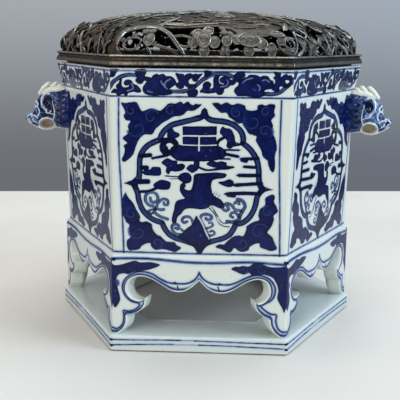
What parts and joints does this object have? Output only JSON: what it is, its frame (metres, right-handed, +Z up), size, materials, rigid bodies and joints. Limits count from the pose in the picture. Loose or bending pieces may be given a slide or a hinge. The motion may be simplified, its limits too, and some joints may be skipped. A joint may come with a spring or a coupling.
{
  "type": "hexagonal incense burner",
  "caption": "Hexagonal porcelain incense burner on a pierced foot, with beast-head handles, a copper liner with ash and a lift-off pierced metal cover.",
  "frame": {"origin": "on the surface that the burner stands on, under the middle of its base ring", "axes": "+Z up, +X towards the right handle, -Y towards the front wall"},
  "size_m": [0.217, 0.164, 0.1764],
  "materials": {
    "porcelain": "gloss",
    "porcelain_base": "gloss",
    "porcelain_walls": "gloss",
    "porcelain_foot": "gloss",
    "porcelain_band": "gloss",
    "porcelain_handles": "gloss",
    "cover_bronze": "satin",
    "liner_copper": "satin",
    "ash": "matte"
  },
  "bodies": {
    "vessel": {"base_ring": "porcelain_base", "apron_back_right": "porcelain_foot", "apron_back": "porcelain_foot", "apron_back_left": "porcelain_foot", "apron_front_left": "porcelain_foot", "apron_front": "porcelain_foot", "apron_front_right": "porcelain_foot", "floor_slab": "porcelain", "wall_back_right": "porcelain_walls", "wall_back": "porcelain_walls", "wall_back_left": "porcelain_walls", "wall_front_left": "porcelain_walls", "wall_front": "porcelain_walls", "wall_front_right": "porcelain_walls", "band_back_right": "porcelain_band", "band_back": "porcelain_band", "band_back_left": "porcelain_band", "band_front_left": "porcelain_band", "band_front": "porcelain_band", "band_front_right": "porcelain_band", "handle_right": "porcelain_handles", "handle_left": "porcelain_handles"},
    "liner": {"liner_pan": "liner_copper", "ash_bed": "ash"},
    "cover": {"cover_flange": "cover_bronze", "cover_collar": "cover_bronze", "cover_rim": "cover_bronze", "cover_dome": "cover_bronze"}
  },
  "joints": [
    {"name": "liner_lift", "type": "slide", "parent": "vessel", "child": "liner", "axis": [0, 0, 1], "range_m": [0, 0.1]},
    {"name": "cover_lift", "type": "slide", "parent": "liner", "child": "cover", "axis": [0, 0, 1], "range_m": [0, 0.06]}
  ]
}
